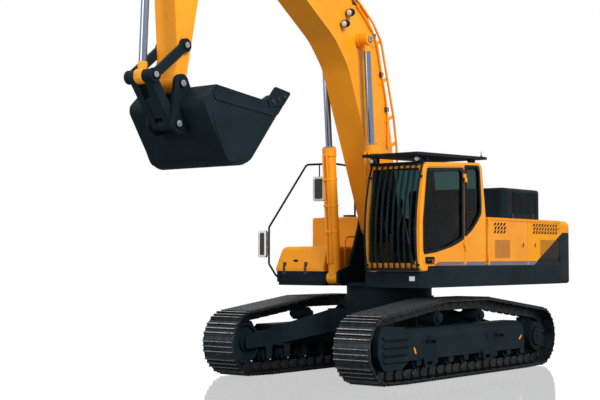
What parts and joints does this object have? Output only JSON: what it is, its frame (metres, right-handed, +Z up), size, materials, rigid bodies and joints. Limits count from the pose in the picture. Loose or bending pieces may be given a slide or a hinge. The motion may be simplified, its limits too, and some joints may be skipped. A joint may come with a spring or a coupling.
{
  "type": "crawler excavator",
  "caption": "Crawler excavator with a guarded cab, raised mono boom, arm and bucket on steel tracks; the upper structure swings and the cylinders, doors and lids move.",
  "frame": {"origin": "on the ground under the middle of the machine's outline, seen from above", "axes": "+X is forward along the tracks, +Y is the driver's left, +Z is up"},
  "size_m": [8.979, 3.1065, 8.1689],
  "materials": {
    "yellow_paint": "semi-gloss enamel",
    "charcoal_paint": "satin enamel",
    "track_steel": "dark steel, lightly worn",
    "chrome_rod": "ground and plated",
    "tinted_glass": "lightly tinted",
    "black_plastic": "grained",
    "seat_fabric": "woven"
  },
  "bodies": {
    "undercarriage": {"centre_frame": "charcoal_paint", "swing_bearing": "charcoal_paint", "track_frame_left": "charcoal_paint", "track_left": "track_steel", "idler_left": "charcoal_paint", "sprocket_left": "charcoal_paint", "track_rollers_left": "charcoal_paint", "carrier_rollers_left": "charcoal_paint", "track_frame_right": "charcoal_paint", "track_right": "track_steel", "idler_right": "charcoal_paint", "sprocket_right": "charcoal_paint", "track_rollers_right": "charcoal_paint", "carrier_rollers_right": "charcoal_paint"},
    "upper": {"upper_frame": "charcoal_paint", "counterweight": "yellow_paint", "machine_house": "yellow_paint", "engine_block": "charcoal_paint", "fuel_tank": "yellow_paint", "hydraulic_tank": "yellow_paint", "tool_box_base": "charcoal_paint", "cab_shell": "yellow_paint", "cab_glass": "tinted_glass", "cab_front_guard": "charcoal_paint", "cab_roof_guard": "charcoal_paint", "driver_seat": "seat_fabric", "control_consoles": "black_plastic", "mirror_stay": "charcoal_paint", "mirrors": "black_plastic", "handrail": "yellow_paint"},
    "cab_door": {"cab_door": "yellow_paint", "door_glass": "tinted_glass"},
    "left_door_front": {"left_door_front": "yellow_paint"},
    "left_door_rear": {"left_door_rear": "yellow_paint"},
    "right_door": {"right_door": "yellow_paint"},
    "engine_hood": {"engine_hood": "charcoal_paint"},
    "tool_box_lid": {"tool_box_lid": "yellow_paint"},
    "boom": {"boom": "yellow_paint", "boom_pipes": "charcoal_paint", "boom_lamps": "charcoal_paint"},
    "boom_barrels": {"boom_cylinder_barrels": "yellow_paint"},
    "boom_rods": {"boom_cylinder_rods": "chrome_rod"},
    "arm": {"arm": "yellow_paint"},
    "arm_barrel": {"arm_cylinder_barrel": "yellow_paint"},
    "arm_rod": {"arm_cylinder_rod": "chrome_rod"},
    "bucket": {"bucket": "charcoal_paint"},
    "bucket_barrel": {"bucket_cylinder_barrel": "yellow_paint"},
    "bucket_rod": {"bucket_cylinder_rod": "chrome_rod"},
    "idler_links": {"idler_links": "charcoal_paint"},
    "bucket_link": {"bucket_link": "charcoal_paint"}
  },
  "joints": [
    {"name": "swing", "type": "hinge", "parent": "undercarriage", "child": "upper", "pos_m": [-0.93, 0, 1.3], "axis": [0, 0, 1], "continuous": true},
    {"name": "boom_lift", "type": "hinge", "parent": "upper", "child": "boom", "pos_m": [-0.68, 0, 2.25], "axis": [0, -1, 0], "range_deg": [-78, 10]},
    {"name": "boom_barrel_tilt", "type": "hinge", "parent": "upper", "child": "boom_barrels", "pos_m": [-0.052, 0, 1.43], "axis": [0, -1, 0], "range_deg": [-71, 9.5]},
    {"name": "boom_rod_slide", "type": "slide", "parent": "boom_barrels", "child": "boom_rods", "axis": [0.072, 0, 0.9974], "range_m": [-1.205, 0.16]},
    {"name": "arm_swing", "type": "hinge", "parent": "boom", "child": "arm", "pos_m": [3.65246, 0, 7.09559], "axis": [0, 1, 0], "range_deg": [-103, 10]},
    {"name": "arm_barrel_tilt", "type": "hinge", "parent": "boom", "child": "arm_barrel", "pos_m": [0.40836, 0, 5.83774], "axis": [0, 1, 0], "range_deg": [-0.2, 1.1]},
    {"name": "arm_rod_slide", "type": "slide", "parent": "arm_barrel", "child": "arm_rod", "axis": [0.8362, 0, 0.5484], "range_m": [-1.48, 0.15]},
    {"name": "bucket_curl", "type": "hinge", "parent": "arm", "child": "bucket", "pos_m": [3.93136, 0, 3.90777], "axis": [0, 1, 0], "range_deg": [-145, 10]},
    {"name": "idler_link_turn", "type": "hinge", "parent": "arm", "child": "idler_links", "pos_m": [3.85742, 0, 4.39719], "axis": [0, 1, 0], "range_deg": [-105, 7.5]},
    {"name": "bucket_link_turn", "type": "hinge", "parent": "idler_links", "child": "bucket_link", "pos_m": [4.39701, 0, 3.96658], "axis": [0, 1, 0], "range_deg": [-4.6, 64.5]},
    {"name": "bucket_barrel_tilt", "type": "hinge", "parent": "arm", "child": "bucket_barrel", "pos_m": [4.25329, 0, 6.99759], "axis": [0, 1, 0], "range_deg": [-0.2, 1.6]},
    {"name": "bucket_rod_slide", "type": "slide", "parent": "bucket_barrel", "child": "bucket_rod", "axis": [0.0474, 0, -0.9989], "range_m": [-1.09, 0.08]},
    {"name": "cab_door_hinge", "type": "hinge", "parent": "upper", "child": "cab_door", "pos_m": [-0.763, 1.4865, 2.3], "axis": [0, 0, 1], "range_deg": [0, 160]},
    {"name": "left_front_door_hinge", "type": "hinge", "parent": "upper", "child": "left_door_front", "pos_m": [-1.432, 1.482, 2], "axis": [0, 0, 1], "range_deg": [-110, 0]},
    {"name": "left_rear_door_hinge", "type": "hinge", "parent": "upper", "child": "left_door_rear", "pos_m": [-3.774, 1.482, 2], "axis": [0, 0, 1], "range_deg": [0, 110]},
    {"name": "right_door_hinge", "type": "hinge", "parent": "upper", "child": "right_door", "pos_m": [-3.774, -1.482, 2], "axis": [0, 0, -1], "range_deg": [0, 110]},
    {"name": "engine_hood_hinge", "type": "hinge", "parent": "upper", "child": "engine_hood", "pos_m": [-2.56, 0.17, 2.364], "axis": [0, 1, 0], "range_deg": [0, 55]},
    {"name": "tool_box_lid_hinge", "type": "hinge", "parent": "upper", "child": "tool_box_lid", "pos_m": [-0.828, -1.01, 1.902], "axis": [0, -1, 0], "range_deg": [0, 70]}
  ],
  "couplings": [
    {"joint": "boom_barrel_tilt", "follows": "boom_lift", "ratio": 0.9},
    {"joint": "boom_rod_slide", "follows": "boom_lift", "m_per_rad": 0.88},
    {"joint": "arm_barrel_tilt", "follows": "arm_swing", "ratio": -0.01},
    {"joint": "arm_rod_slide", "follows": "arm_swing", "m_per_rad": 0.82},
    {"joint": "idler_link_turn", "follows": "bucket_curl", "ratio": 0.72},
    {"joint": "bucket_link_turn", "follows": "bucket_curl", "ratio": -0.44},
    {"joint": "bucket_barrel_tilt", "follows": "bucket_curl", "ratio": -0.01},
    {"joint": "bucket_rod_slide", "follows": "bucket_curl", "m_per_rad": 0.43}
  ]
}
